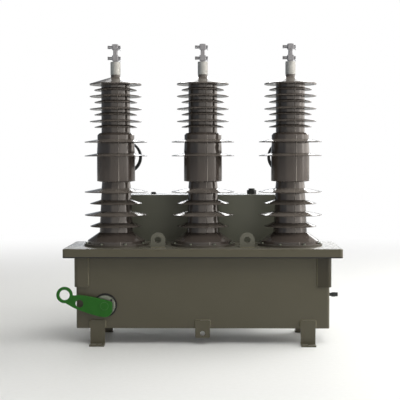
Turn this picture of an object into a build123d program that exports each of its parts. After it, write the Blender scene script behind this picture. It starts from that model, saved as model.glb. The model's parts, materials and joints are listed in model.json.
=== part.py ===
from build123d import *
import math
import os

os.makedirs("parts", exist_ok=True)

# A three-phase pole-mounted vacuum recloser, in millimetres.
# Origin: on the ground, in the middle of the four foot bolts. Front is -Y, +Z is up.

# Tank, a folded sheet-steel housing
tank_length = 963.0
tank_depth = 250.0
tank_bottom = 63.5
tank_top = 366.0
tank_wall = 3.0
tank_corner = 10.0
tank_flange_width = 28.0
tank_flange_thickness = 4.0

# Lid, a pressed pan that overhangs the tank
lid_end_overhang = 44.5
lid_front_overhang = 45.0
lid_length = tank_length + 2 * lid_end_overhang
lid_depth = tank_depth + 2 * lid_front_overhang
lid_plate = 4.0
lid_rim_height = 30.0
lid_rim_wall = 3.0
lid_corner = 12.0
lid_edge_round = 5.0
lid_top = tank_top + lid_plate

# Poles: three moulded insulators in a row
phase_spacing = 340.0
pole_spigot_radius = 52.0
pole_spigot_depth = 30.0
pole_hole_gap = 1.5
base_flange_radius = 125.5
base_flange_thickness = 9.0
base_ring_bore_gap = 0.05
base_flare_radius = 112.0
base_flare_height = 20.0
base_neck_height = 52.0
lower_core_radius_bottom = 65.5
lower_core_radius_top = 55.0
housing_radius = 74.0
housing_upper_radius = 72.0
housing_bottom = 251.0
housing_underside_rise = 4.0
housing_top = 437.0
housing_shoulder = 7.0
housing_cap_rise = 3.0
upper_core_radius = 56.0
neck_radius = 18.5
neck_bottom = 655.0
neck_top = 663.0
roof_height = 627.0

# Sheds as height of the tip above the lid; large and small ones take turns
lower_sheds_large = [119.2, 208.9]
lower_sheds_small = [75.2, 163.6]
housing_sheds = [349.0, 403.0]
upper_sheds_large = [482.7, 530.7, 580.0]
upper_sheds_small = [460.8, 508.8, 557.0, 604.5]
lower_large_radius = 123.0
lower_small_radius = 102.0
housing_shed_radius = 122.0
upper_large_radius = 101.0
upper_small_radius = 83.0
roof_radius = 101.0
shed_tip = 3.0
shed_tip_round = 1.0
shed_droop = 1.0
roof_tip = 4.0
lower_shed_drop = 13.0
housing_shed_drop = 9.0
upper_shed_drop = 7.0

# Rear arm of a pole: a slender shedded bushing
arm_height = 344.5
arm_seat_reach = 2.0
arm_seat_y = housing_radius + arm_seat_reach
arm_seat_radius = 46.0
arm_seat_gap = 5.0
arm_flange_thickness = 10.0
arm_flange_taper = 6.0
arm_core_radius = 31.0
arm_shed_radius = 44.0
arm_shed_count = 8
arm_shed_pitch = 28.0
arm_shed_start = 112.0
arm_shed_thickness = 6.0
arm_shed_slope = 4.2
arm_collar_start = 356.0
arm_tail_radius = 26.0
arm_tail_shed_radius = 37.0
arm_end = 440.0
arm_tail_shed_count = 2
arm_tail_shed_start = 402.0
arm_tail_shed_pitch = 22.0

# Current sensor: a ring around the arm, with an eccentric bore and two spokes
sensor_ring_radius = 70.0
sensor_bore_radius = 58.5
sensor_bore_rise = 2.5
sensor_ring_thickness = 26.0
sensor_hub_radius = 34.0
sensor_hub_length = 32.0
sensor_spoke_width = 15.0
sensor_spoke_thickness = 14.0
sensor_spoke_bite = 3.0
sensor_fit_gap = 0.05

# Terminals: a round stem with a two-bolt clamp
stem_radius = 19.5
stem_length = 51.0
stem_edge = 1.5
clamp_height = 68.5
clamp_body_width = 16.0
clamp_body_depth = 22.0
clamp_cheek_width = 24.0
clamp_cheek_depth = 30.0
clamp_cheek_height = 20.0
clamp_corner = 3.0
clamp_bolt_radius = 6.0
clamp_bolt_heights = [14.5, 57.0]
clamp_head_reach = 30.0
clamp_head_length = 7.0
clamp_nut_reach = 20.0
clamp_nut_length = 6.5
clamp_thread_end = 1.0
clamp_hexagon_radius = 7.0
clamp_tab_thickness = 1.5
clamp_tab_width = 9.0
clamp_tab_drop = 13.0
clamp_tab_slope = 30.0
clamp_tab_top = 5.0
clamp_tab_bend = 3.0
clamp_tab_bite = 1.0
clamp_bore_radius = 5.5
clamp_bore_depth = 45.0
rear_stem_radius = 16.0
rear_stem_length = 20.0

# Feet: four bent plates on the front and rear of the tank
foot_inset = 82.0
foot_offset = tank_length / 2 - foot_inset
foot_width = 56.0
foot_thickness = 6.0
foot_wall_reach = 31.5
foot_top = tank_bottom + foot_wall_reach
foot_corner = 8.0
foot_flange = 34.0
foot_bend = 7.0
foot_hole_radius = 6.75
foot_hole_reach = 20.0

# Corner brackets below the lid, wrapped round the tank's corners
corner_thickness = 7.0
corner_bend = 17.0
corner_leg = 45.5
corner_drop = 145.0
corner_bottom = tank_top - corner_drop

# Lifting lugs on the lid and an earth lug on the tank's front
lug_spacing = 340.0
lug_inset = 22.0
lug_y = lug_inset - tank_depth / 2
lug_radius = 28.0
lug_hole_radius = 12.5
lug_hole_height = 29.0
lug_thickness = 10.0
earth_lug_width = 56.0
earth_lug_wall_reach = 32.0
earth_lug_top = tank_bottom + earth_lug_wall_reach
earth_lug_height = 67.0
earth_lug_bottom = earth_lug_top - earth_lug_height
earth_lug_corner = 5.0
earth_lug_thickness = 8.0
earth_lug_hole_rise = 17.0
earth_lug_hole_radius = 9.0

# Cable gland on the right end wall
gland_rise = 112.5
gland_height = tank_bottom + gland_rise
gland_flange_radius = 11.0
gland_flange_length = 5.0
gland_neck_radius = 6.5
gland_neck_length = 16.0
gland_nut_across = 17.0
gland_nut_length = 14.0
gland_tip_radius = 8.0
gland_tip_length = 10.0
gland_bore_radius = 4.5

# Trip handle: a lever on a round bearing plate
pivot_inset = 111.0
pivot_rise = 88.5
pivot_x = pivot_inset - tank_length / 2
pivot_z = tank_bottom + pivot_rise
dial_radius = 39.5
dial_thickness = 7.0
dial_edge = 1.5
dial_gasket_radius = 45.0
dial_gasket_thickness = 4.0
shaft_radius = 10.0
shaft_fit_gap = 0.05
shaft_inner_end = -60.0
shaft_tank_gap = 1.0
lever_gap = 6.0
lever_thickness = 8.0
lever_end_x = 29.5
lever_end_top = 15.5
lever_end_bottom = -48.0
lever_end_top_round = 11.0
lever_end_bottom_round = 30.0
lever_low_x = [-20.0, -57.5, -95.0, -118.0]
lever_low_z = [-40.0, -29.7, -16.2, -7.0]
lever_high_x = [-112.0, -100.0, -80.0, -57.5, -20.0]
lever_high_z = [39.5, 41.5, 40.0, 36.0, 28.5]
lever_edge = 1.0
lever_boss_radius = 15.0
lever_boss_thickness = 10.0
padlock_hole_radius = 15.0
padlock_hole_x = -95.5
padlock_hole_z = 8.6
eye_outer_radius = 31.0
eye_bore_radius = 19.5
eye_x = -151.5
eye_z = 41.5
eye_lap = 2.0

# Control cabinet behind the poles, on two rails on the tank's rear wall
cabinet_width = 700.0
cabinet_stand_off = 47.0
cabinet_front = tank_depth / 2 + cabinet_stand_off
cabinet_depth = 200.0
cabinet_bottom = 130.0
cabinet_rise = 190.0
cabinet_top = lid_top + cabinet_rise
cabinet_wall = 2.5
cabinet_corner = 8.0
cabinet_cover_thickness = 3.0
rail_spacing = 420.0
rail_width = 60.0
rail_wall = 4.0
rail_height = 170.0
rail_drop = 46.0
rail_top = tank_top - rail_drop
rail_bottom = rail_top - rail_height
vent_x = -213.0
vent_radius = 11.0
vent_height = 9.0
vent_round = 5.4
knob_x = 199.0
knob_across = 34.0
knob_height = 16.0
knob_collar_radius = 13.0
knob_collar_height = 7.0

phase_names = ["left", "middle", "right"]
phase_places = [-phase_spacing, 0.0, phase_spacing]
tank_front = -tank_depth / 2
tank_rear = tank_depth / 2


def write(part, name):
    # Labels one finished piece and writes it under its own name.
    part.label = name
    export_step(part, f"parts/{name}.step")


def core_radius(height):
    # Radius of the lower core, which narrows upwards.
    share = (height - base_neck_height) / (housing_bottom - base_neck_height)
    return lower_core_radius_bottom + share * (lower_core_radius_top - lower_core_radius_bottom)


def shed_points(tip_height, tip_radius, root_radius, drop):
    # One shed, from its drooping underside round the tip and up its sloping roof.
    underside = tip_height - shed_tip / 2
    return [
        (root_radius, underside + shed_droop),
        (tip_radius - shed_tip_round, underside),
        (tip_radius, underside + shed_tip_round),
        (tip_radius, underside + shed_tip - shed_tip_round),
        (tip_radius - shed_tip_round, underside + shed_tip),
        (root_radius, underside + shed_tip + drop),
    ]


def by_height(groups):
    # Sheds of several sizes in one list, lowest first.
    sheds = [(height, radius) for heights, radius in groups for height in heights]
    return sorted(sheds)


def pole_outline():
    # The half outline of a pole from its spigot below the lid to the neck under the stem.
    points = [
        (0, -pole_spigot_depth),
        (pole_spigot_radius, -pole_spigot_depth),
        (pole_spigot_radius, 0),
        (base_flare_radius, 0),
        (base_flare_radius, base_flare_height),
        (lower_core_radius_bottom, base_neck_height),
    ]
    for height, radius in by_height(
        [(lower_sheds_small, lower_small_radius), (lower_sheds_large, lower_large_radius)]
    ):
        points += shed_points(height, radius, core_radius(height), lower_shed_drop)
    points += [
        (lower_core_radius_top, housing_bottom - housing_underside_rise),
        (housing_radius, housing_bottom),
    ]
    for height, root in zip(housing_sheds, [housing_radius, housing_upper_radius]):
        points += shed_points(height, housing_shed_radius, root, housing_shed_drop)
    points += [
        (housing_upper_radius, housing_top - housing_shoulder),
        (housing_upper_radius - housing_shoulder, housing_top),
        (upper_core_radius, housing_top + housing_cap_rise),
    ]
    for height, radius in by_height(
        [(upper_sheds_small, upper_small_radius), (upper_sheds_large, upper_large_radius)]
    ):
        points += shed_points(height, radius, upper_core_radius, upper_shed_drop)
    points += [
        (upper_core_radius, roof_height - roof_tip / 2),
        (roof_radius, roof_height - roof_tip / 2),
        (roof_radius, roof_height + roof_tip / 2),
        (neck_radius, neck_bottom),
        (neck_radius, neck_top),
        (0, neck_top),
    ]
    return points


def make_pole(name, x):
    # The moulded column, with a flat pad at the back for the arm.
    axis = Plane.XZ.shift_origin((x, 0, lid_top))
    pad_plane = Plane.XZ.offset(-arm_seat_y).shift_origin((x, arm_seat_y, lid_top + arm_height))
    with BuildPart() as pole:
        with BuildSketch(axis):
            with BuildLine():
                Polyline(*pole_outline(), close=True)
            make_face()
        revolve(axis=Axis((x, 0, 0), (0, 0, 1)))
        with BuildSketch(pad_plane):
            Circle(arm_seat_radius)
        extrude(amount=arm_seat_y)
        with BuildSketch(pad_plane):
            Circle(arm_seat_radius + arm_seat_gap)
        extrude(amount=-housing_shed_radius, mode=Mode.SUBTRACT)
    write(pole.part, f"pole_{name}_column")


def make_base_ring(name, x):
    # The clamp ring that bolts a pole's foot down on the lid.
    with BuildPart() as ring:
        with BuildSketch(Plane.XY.offset(lid_top).shift_origin((x, 0, lid_top))):
            Circle(base_flange_radius)
            Circle(base_flare_radius + base_ring_bore_gap, mode=Mode.SUBTRACT)
        extrude(amount=base_flange_thickness)
    write(ring.part, f"pole_{name}_base_ring")


def arm_outline():
    # The half outline of an arm as (distance behind the pole's axis, radius).
    points = [
        (arm_seat_y, 0),
        (arm_seat_y, arm_seat_radius),
        (arm_seat_y + arm_flange_thickness, arm_seat_radius),
        (arm_seat_y + arm_flange_thickness + arm_flange_taper, arm_core_radius),
    ]
    for index in range(arm_shed_count):
        start = arm_shed_start + index * arm_shed_pitch
        points += [
            (start, arm_core_radius),
            (start + arm_shed_slope, arm_shed_radius),
            (start + arm_shed_thickness, arm_shed_radius),
            (start + arm_shed_thickness, arm_core_radius),
        ]
    points += [
        (arm_collar_start, arm_core_radius),
        (arm_collar_start, arm_tail_radius),
    ]
    for index in range(arm_tail_shed_count):
        start = arm_tail_shed_start + index * arm_tail_shed_pitch
        points += [
            (start, arm_tail_radius),
            (start + arm_shed_slope, arm_tail_shed_radius),
            (start + arm_shed_thickness, arm_tail_shed_radius),
            (start + arm_shed_thickness, arm_tail_radius),
        ]
    points += [(arm_end, arm_tail_radius), (arm_end, 0)]
    return points


def make_arm(name, x):
    # The rear bushing, turned about its own axis.
    centre = (x, 0, lid_top + arm_height)
    with BuildPart() as arm:
        with BuildSketch(Plane(origin=centre, x_dir=(0, 1, 0), z_dir=(1, 0, 0))):
            with BuildLine():
                Polyline(*arm_outline(), close=True)
            make_face()
        revolve(axis=Axis(centre, (0, 1, 0)))
    write(arm.part, f"pole_{name}_arm")


def make_sensor(name, x):
    # The current sensor's ring, its hub on the arm's tail and the two spokes between them.
    middle_y = arm_collar_start + sensor_hub_length / 2
    plane = Plane(origin=(x, middle_y, lid_top + arm_height), x_dir=(1, 0, 0), z_dir=(0, -1, 0))
    with BuildPart() as sensor:
        with BuildSketch(plane):
            Circle(sensor_ring_radius)
            with Locations((0, sensor_bore_rise)):
                Circle(sensor_bore_radius, mode=Mode.SUBTRACT)
        extrude(amount=sensor_ring_thickness / 2, both=True)
        with BuildSketch(plane):
            Circle(sensor_hub_radius)
        extrude(amount=sensor_hub_length / 2, both=True)
        with BuildSketch(plane):
            Rectangle(sensor_spoke_width, 2 * (sensor_bore_radius + sensor_spoke_bite))
        extrude(amount=sensor_spoke_thickness / 2, both=True)
        with BuildSketch(plane):
            Circle(arm_tail_radius + sensor_fit_gap)
        extrude(amount=sensor_hub_length, both=True, mode=Mode.SUBTRACT)
    write(sensor.part, f"pole_{name}_current_sensor")


def make_top_terminal(name, x):
    # The stem on the neck, then the clamp that grips a vertical conductor above it.
    base = Plane.XY.offset(lid_top + neck_top).shift_origin((x, 0, lid_top + neck_top))
    with BuildPart() as stem:
        with BuildSketch(base):
            Circle(stem_radius)
        extrude(amount=stem_length)
        chamfer(stem.edges().filter_by(GeomType.CIRCLE), stem_edge)
    write(stem.part, f"pole_{name}_top_stem")
    make_clamp(f"pole_{name}_top_clamp", base.offset(stem_length))


def make_clamp(name, seat):
    # A clamp that stands on the seat plane: body, conductor bore and two cross bolts, each
    # with its head on the left and its nut and bent tab washer on the right.
    bolt_run = clamp_head_reach + clamp_nut_reach
    with BuildPart() as clamp:
        with BuildSketch(seat):
            RectangleRounded(clamp_body_width, clamp_body_depth, clamp_corner)
        extrude(amount=clamp_height)
        for bolt_height in clamp_bolt_heights:
            with BuildSketch(seat.offset(bolt_height - clamp_cheek_height / 2)):
                RectangleRounded(clamp_cheek_width, clamp_cheek_depth, clamp_corner)
            extrude(amount=clamp_cheek_height)
            middle = seat.origin + seat.z_dir * bolt_height
            head_end = middle - seat.x_dir * clamp_head_reach
            bolt_plane = Plane(origin=head_end, x_dir=seat.y_dir, z_dir=seat.x_dir)
            with BuildSketch(bolt_plane):
                Circle(clamp_bolt_radius)
            extrude(amount=bolt_run)
            with BuildSketch(bolt_plane):
                RegularPolygon(clamp_hexagon_radius, 6)
            extrude(amount=clamp_head_length)
            with BuildSketch(bolt_plane.offset(bolt_run - clamp_thread_end)):
                RegularPolygon(clamp_hexagon_radius, 6)
            extrude(amount=-clamp_nut_length)
            tab_start = middle + seat.x_dir * clamp_cheek_width / 2
            side = Plane(origin=tab_start, x_dir=seat.x_dir, z_dir=-seat.y_dir)
            slope = math.radians(clamp_tab_slope)
            low = clamp_tab_drop
            out = low * math.tan(slope)
            with BuildSketch(side):
                with BuildLine():
                    Polyline(
                        (-clamp_tab_bite, clamp_tab_top),
                        (clamp_tab_thickness, clamp_tab_top),
                        (clamp_tab_thickness, -clamp_tab_bend),
                        (clamp_tab_thickness + out, -low),
                        (out, -low),
                        (-clamp_tab_bite, -clamp_tab_top),
                        close=True,
                    )
                make_face()
            extrude(amount=clamp_tab_width / 2, both=True)
        with BuildSketch(seat.offset(clamp_height)):
            Circle(clamp_bore_radius)
        extrude(amount=-clamp_bore_depth, mode=Mode.SUBTRACT)
    write(clamp.part, name)


def make_rear_terminal(name, x):
    # The rear stem on the arm's end and its clamp.
    seat = Plane(
        origin=(x, arm_end, lid_top + arm_height), x_dir=(1, 0, 0), z_dir=(0, 1, 0)
    )
    with BuildPart() as stem:
        with BuildSketch(seat):
            Circle(rear_stem_radius)
        extrude(amount=rear_stem_length)
        chamfer(stem.edges().filter_by(GeomType.CIRCLE), stem_edge)
    write(stem.part, f"pole_{name}_rear_stem")
    make_clamp(f"pole_{name}_rear_clamp", seat.offset(rear_stem_length))


def make_tank():
    # The folded tank: floor, four walls and an outward flange that carries the lid.
    with BuildPart() as tank:
        with BuildSketch(Plane.XY.offset(tank_bottom)):
            RectangleRounded(tank_length, tank_depth, tank_corner)
        extrude(amount=tank_top - tank_bottom)
        with BuildSketch(Plane.XY.offset(tank_bottom + tank_wall)):
            RectangleRounded(
                tank_length - 2 * tank_wall, tank_depth - 2 * tank_wall, tank_corner - tank_wall
            )
        extrude(amount=tank_top - tank_bottom, mode=Mode.SUBTRACT)
        with BuildSketch(Plane.XY.offset(tank_top)):
            RectangleRounded(
                tank_length + 2 * tank_flange_width,
                tank_depth + 2 * tank_flange_width,
                tank_corner,
            )
            Rectangle(tank_length - tank_wall, tank_depth - tank_wall, mode=Mode.SUBTRACT)
        extrude(amount=-tank_flange_thickness)
        shaft_wall = Plane.XZ.offset(-tank_front).shift_origin((pivot_x, tank_front, pivot_z))
        with BuildSketch(shaft_wall):
            Circle(shaft_radius + shaft_tank_gap)
        extrude(amount=2 * tank_wall, both=True, mode=Mode.SUBTRACT)
    write(tank.part, "tank_shell")


def make_lid():
    # The lid pan: a plate with a turned-down rim and one round hole under each pole.
    with BuildPart() as lid:
        with BuildSketch(Plane.XY.offset(lid_top)):
            RectangleRounded(lid_length, lid_depth, lid_corner)
        extrude(amount=-lid_rim_height)
        fillet(lid.faces().sort_by(Axis.Z)[-1].edges(), lid_edge_round)
        with BuildSketch(Plane.XY.offset(lid_top - lid_plate)):
            RectangleRounded(
                lid_length - 2 * lid_rim_wall,
                lid_depth - 2 * lid_rim_wall,
                lid_corner - lid_rim_wall,
            )
        extrude(amount=-lid_rim_height, mode=Mode.SUBTRACT)
        with BuildSketch(Plane.XY.offset(lid_top)):
            with GridLocations(phase_spacing, 0, 3, 1):
                Circle(pole_spigot_radius + pole_hole_gap)
        extrude(amount=-2 * lid_plate, mode=Mode.SUBTRACT)
    write(lid.part, "tank_lid")


def make_foot(name, x_sign, y_sign):
    # A bent foot: a plate up the tank's wall and a flange on the ground with one bolt hole.
    wall = y_sign * tank_depth / 2
    outline_plane = Plane(
        origin=(x_sign * foot_offset, wall, 0), x_dir=(0, y_sign, 0), z_dir=(y_sign, 0, 0)
    )
    reach = foot_thickness + foot_flange
    with BuildPart() as foot:
        with BuildSketch(outline_plane):
            with BuildLine():
                Polyline(
                    (0, 0),
                    (reach, 0),
                    (reach, foot_thickness),
                    (foot_thickness, foot_thickness),
                    (foot_thickness, foot_top),
                    (0, foot_top),
                    close=True,
                )
            make_face()
        extrude(amount=foot_width / 2, both=True)
        inner_bend = foot.edges().filter_by(Axis.X).sort_by(
            lambda edge: math.hypot(edge.center().Y - wall, edge.center().Z)
        )
        fillet(inner_bend[0], foot_bend)
        fillet(foot.edges().filter_by(Axis.Y).group_by(Axis.Z)[-1], foot_corner)
        with BuildSketch(Plane.XY.offset(foot_thickness)):
            with Locations((x_sign * foot_offset, wall + y_sign * foot_hole_reach)):
                Circle(foot_hole_radius)
        extrude(amount=-2 * foot_thickness, mode=Mode.SUBTRACT)
    write(foot.part, name)


def make_corner(name, x_sign, y_sign):
    # An angle bracket round one upper corner of the tank.
    top = tank_top - tank_flange_thickness
    corner_x = x_sign * tank_length / 2
    corner_y = y_sign * tank_depth / 2
    with BuildPart() as corner:
        with BuildSketch(Plane.XY.offset(corner_bottom)):
            with BuildLine():
                Polyline(
                    (corner_x - x_sign * corner_leg, corner_y),
                    (corner_x, corner_y),
                    (corner_x, corner_y - y_sign * corner_leg),
                    (corner_x + x_sign * corner_thickness, corner_y - y_sign * corner_leg),
                    (corner_x + x_sign * corner_thickness, corner_y + y_sign * corner_thickness),
                    (corner_x - x_sign * corner_leg, corner_y + y_sign * corner_thickness),
                    close=True,
                )
            make_face()
        extrude(amount=top - corner_bottom)
        far_edge = corner.edges().filter_by(Axis.Z).sort_by(
            lambda edge: x_sign * edge.center().X + y_sign * edge.center().Y
        )
        fillet(far_edge[-1], corner_bend)
    write(corner.part, name)


def make_lifting_lug(name, x):
    # A half-round plate that stands on the lid, with a hole for a shackle.
    plane = Plane.XZ.offset(-lug_y).shift_origin((x, lug_y, lid_top))
    with BuildPart() as lug:
        with BuildSketch(plane):
            with Locations((0, lug_hole_height)):
                Circle(lug_radius)
            with Locations((0, lug_hole_height / 2)):
                Rectangle(2 * lug_radius, lug_hole_height)
            with Locations((0, lug_hole_height)):
                Circle(lug_hole_radius, mode=Mode.SUBTRACT)
        extrude(amount=lug_thickness / 2, both=True)
    write(lug.part, name)


def make_earth_lug():
    # The earthing lug below the front wall, with rounded lower corners.
    plane = Plane.XZ.offset(-tank_front).shift_origin((0, tank_front, 0))
    with BuildPart() as lug:
        with BuildSketch(plane):
            with Locations((0, (earth_lug_top + earth_lug_bottom) / 2)):
                Rectangle(earth_lug_width, earth_lug_top - earth_lug_bottom)
        extrude(amount=earth_lug_thickness)
        low = lug.edges().filter_by(Axis.Y).group_by(Axis.Z)[0]
        fillet(low, earth_lug_corner)
        with BuildSketch(plane):
            with Locations((0, earth_lug_bottom + earth_lug_hole_rise)):
                Circle(earth_lug_hole_radius)
        extrude(amount=earth_lug_thickness, mode=Mode.SUBTRACT)
    write(lug.part, "earth_lug")


def make_side_gland():
    # The cable gland on the right end wall: flange, neck, hexagon nut and tip.
    plane = Plane(
        origin=(tank_length / 2, 0, gland_height), x_dir=(0, 1, 0), z_dir=(1, 0, 0)
    )
    nut_start = gland_flange_length + gland_neck_length
    with BuildPart() as gland:
        with BuildSketch(plane):
            Circle(gland_flange_radius)
        extrude(amount=gland_flange_length)
        with BuildSketch(plane.offset(gland_flange_length)):
            Circle(gland_neck_radius)
        extrude(amount=gland_neck_length)
        with BuildSketch(plane.offset(nut_start)):
            RegularPolygon(gland_nut_across / 2, 6, major_radius=False)
        extrude(amount=gland_nut_length)
        with BuildSketch(plane.offset(nut_start + gland_nut_length)):
            Circle(gland_tip_radius)
        extrude(amount=gland_tip_length)
        with BuildSketch(plane.offset(nut_start + gland_nut_length + gland_tip_length)):
            Circle(gland_bore_radius)
        extrude(amount=-gland_tip_length, mode=Mode.SUBTRACT)
    write(gland.part, "side_gland")


def front_plane(y):
    # A plane across the handle's axis, facing the front.
    return Plane(origin=(pivot_x, y, pivot_z), x_dir=(1, 0, 0), z_dir=(0, -1, 0))


def make_dial():
    # The gasket on the wall, and the bearing plate that guides the handle's shaft.
    gasket_front = tank_front - dial_gasket_thickness
    with BuildPart() as gasket:
        with BuildSketch(front_plane(tank_front)):
            Circle(dial_gasket_radius)
            Circle(shaft_radius + shaft_tank_gap, mode=Mode.SUBTRACT)
        extrude(amount=dial_gasket_thickness)
    write(gasket.part, "dial_gasket")
    with BuildPart() as dial:
        with BuildSketch(front_plane(gasket_front)):
            Circle(dial_radius)
        extrude(amount=dial_thickness)
        chamfer(dial.faces().sort_by(Axis.Y)[0].edges(), dial_edge)
        with BuildSketch(front_plane(gasket_front)):
            Circle(shaft_radius + shaft_fit_gap)
        extrude(amount=2 * dial_thickness, both=True, mode=Mode.SUBTRACT)
    write(dial.part, "dial_plate")


def make_handle():
    # The shaft through the wall and the lever on its end.
    dial_front = tank_front - dial_gasket_thickness - dial_thickness
    lever_back = dial_front - lever_gap
    with BuildPart() as shaft:
        with BuildSketch(front_plane(shaft_inner_end)):
            Circle(shaft_radius)
        extrude(amount=shaft_inner_end - lever_back)
    write(shaft.part, "handle_shaft")
    with BuildPart() as lever:
        with BuildSketch(front_plane(lever_back)):
            with BuildLine():
                Polyline(
                    (lever_end_x, lever_end_top),
                    (lever_end_x, lever_end_bottom),
                    *zip(lever_low_x, lever_low_z),
                    (eye_x, eye_z - eye_outer_radius + eye_lap),
                    (eye_x, eye_z + eye_lap),
                    *zip(lever_high_x, lever_high_z),
                    close=True,
                )
            make_face()
            with Locations((eye_x, eye_z)):
                Circle(eye_outer_radius)
            with Locations((padlock_hole_x, padlock_hole_z)):
                Circle(padlock_hole_radius, mode=Mode.SUBTRACT)
            with Locations((eye_x, eye_z)):
                Circle(eye_bore_radius, mode=Mode.SUBTRACT)
        extrude(amount=lever_thickness)
        top_corner = lever.edges().filter_by(Axis.Y).sort_by(
            lambda edge: edge.center().X + edge.center().Z
        )
        fillet(top_corner[-1], lever_end_top_round)
        bottom_corner = lever.edges().filter_by(Axis.Y).sort_by(
            lambda edge: edge.center().X - edge.center().Z
        )
        fillet(bottom_corner[-1], lever_end_bottom_round)
        chamfer(lever.faces().sort_by(Axis.Y)[0].edges(), lever_edge)
        with BuildSketch(front_plane(lever_back - lever_thickness)):
            Circle(lever_boss_radius)
        extrude(amount=lever_boss_thickness - lever_thickness)
    write(lever.part, "trip_handle")


def make_cabinet():
    # The sheet-metal control cabinet, open at the back under its cover.
    middle_y = cabinet_front + cabinet_depth / 2
    height = cabinet_top - cabinet_bottom
    shell_depth = cabinet_depth - cabinet_cover_thickness
    with BuildPart() as shell:
        with BuildSketch(Plane.XZ.offset(-cabinet_front)):
            with Locations((0, cabinet_bottom + height / 2)):
                RectangleRounded(cabinet_width, height, cabinet_corner)
        extrude(amount=-shell_depth)
        with BuildSketch(Plane.XZ.offset(-cabinet_front - cabinet_wall)):
            with Locations((0, cabinet_bottom + height / 2)):
                RectangleRounded(
                    cabinet_width - 2 * cabinet_wall,
                    height - 2 * cabinet_wall,
                    cabinet_corner - cabinet_wall,
                )
        extrude(amount=-shell_depth, mode=Mode.SUBTRACT)
    write(shell.part, "cabinet_shell")
    with BuildPart() as cover:
        with BuildSketch(Plane.XZ.offset(-cabinet_front - shell_depth)):
            with Locations((0, cabinet_bottom + height / 2)):
                RectangleRounded(cabinet_width, height, cabinet_corner)
        extrude(amount=-cabinet_cover_thickness)
    write(cover.part, "cabinet_cover")
    vent_plane = Plane.XY.offset(cabinet_top).shift_origin((vent_x, middle_y, cabinet_top))
    with BuildPart() as vent:
        with BuildSketch(vent_plane):
            Circle(vent_radius)
        extrude(amount=vent_height)
        fillet(vent.faces().sort_by(Axis.Z)[-1].edges(), vent_round)
    write(vent.part, "cabinet_vent")
    knob_plane = Plane.XY.offset(cabinet_top).shift_origin((knob_x, middle_y, cabinet_top))
    with BuildPart() as knob:
        with BuildSketch(knob_plane):
            RegularPolygon(knob_across / 2, 6, major_radius=False)
        extrude(amount=knob_height)
        with BuildSketch(knob_plane.offset(knob_height)):
            Circle(knob_collar_radius)
        extrude(amount=knob_collar_height)
    write(knob.part, "cabinet_gland")


def make_rail(name, x):
    # A channel between the tank's rear wall and the cabinet, open to the side.
    height = rail_top - rail_bottom
    with BuildPart() as rail:
        with BuildSketch(Plane.XY.offset(rail_bottom)):
            with Locations((x, (tank_rear + cabinet_front) / 2)):
                Rectangle(rail_width, cabinet_front - tank_rear)
                with Locations((rail_wall, 0)):
                    Rectangle(
                        rail_width, cabinet_front - tank_rear - 2 * rail_wall, mode=Mode.SUBTRACT
                    )
        extrude(amount=height)
    write(rail.part, name)


make_tank()
make_lid()
make_foot("foot_front_left", -1, -1)
make_foot("foot_front_right", 1, -1)
make_foot("foot_rear_left", -1, 1)
make_foot("foot_rear_right", 1, 1)
make_corner("corner_front_left", -1, -1)
make_corner("corner_front_right", 1, -1)
make_lifting_lug("lifting_lug_left", -lug_spacing / 2)
make_lifting_lug("lifting_lug_right", lug_spacing / 2)
make_earth_lug()
make_side_gland()
make_dial()
make_handle()
make_cabinet()
make_rail("cabinet_rail_left", -rail_spacing / 2)
make_rail("cabinet_rail_right", rail_spacing / 2)
for phase, place in zip(phase_names, phase_places):
    make_pole(phase, place)
    make_base_ring(phase, place)
    make_arm(phase, place)
    make_sensor(phase, place)
    make_top_terminal(phase, place)
    make_rear_terminal(phase, place)
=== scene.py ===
"""Looks of a pole-mounted circuit recloser: finishes, bolts, weld beads, light and camera."""

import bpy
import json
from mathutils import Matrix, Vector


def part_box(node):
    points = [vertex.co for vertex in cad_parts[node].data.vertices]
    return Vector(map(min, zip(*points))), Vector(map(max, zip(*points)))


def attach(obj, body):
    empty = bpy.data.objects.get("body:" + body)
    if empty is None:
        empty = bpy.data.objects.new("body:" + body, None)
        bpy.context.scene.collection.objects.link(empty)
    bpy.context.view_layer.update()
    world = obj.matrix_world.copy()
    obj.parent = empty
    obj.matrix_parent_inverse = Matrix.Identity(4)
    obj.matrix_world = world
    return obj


bl_info = {
    "name": "Circuit recloser finishes",
    "version": (1, 0, 0),
    "blender": (4, 5, 0),
    "location": "3D View > Sidebar > Recloser",
    "description": "Finishes and small fasteners for a three-pole outdoor recloser",
    "category": "Object",
}

import json
import math

import bpy
import numpy as np
from mathutils import Euler, Vector

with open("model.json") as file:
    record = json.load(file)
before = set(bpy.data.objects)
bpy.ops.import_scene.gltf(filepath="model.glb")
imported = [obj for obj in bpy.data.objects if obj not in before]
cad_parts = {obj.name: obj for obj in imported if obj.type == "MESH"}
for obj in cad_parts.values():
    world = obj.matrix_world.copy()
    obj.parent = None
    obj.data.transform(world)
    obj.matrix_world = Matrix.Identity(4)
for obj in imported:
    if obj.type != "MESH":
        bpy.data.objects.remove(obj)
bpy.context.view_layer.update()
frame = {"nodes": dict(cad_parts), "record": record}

PHASES = ("left", "middle", "right")
MM = 0.001

# Noise stays mostly between these two values, so map ranges over noise begin and end there
NOISE_SPAN = {"From Min": 0.3, "From Max": 0.7}

# Sockets of a Mix node that mixes colours: both colours and the result
FIRST = 6
SECOND = 7
MIXED = 2


# Colours and sizes


def linear(hex_colour):
    """Linear RGBA of an sRGB hex colour such as 54503f."""
    values = np.array([int(hex_colour[i : i + 2], 16) for i in (0, 2, 4)]) / 255.0
    low = values / 12.92
    high = ((values + 0.055) / 1.055) ** 2.4
    return (*np.where(values <= 0.04045, low, high).tolist(), 1.0)


def colour(label, words, hex_colour):
    """A colour setting with its default written as sRGB hex."""
    return bpy.props.FloatVectorProperty(
        name=label,
        description=words,
        subtype="COLOR",
        size=4,
        min=0.0,
        max=1.0,
        default=linear(hex_colour),
    )


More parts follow.
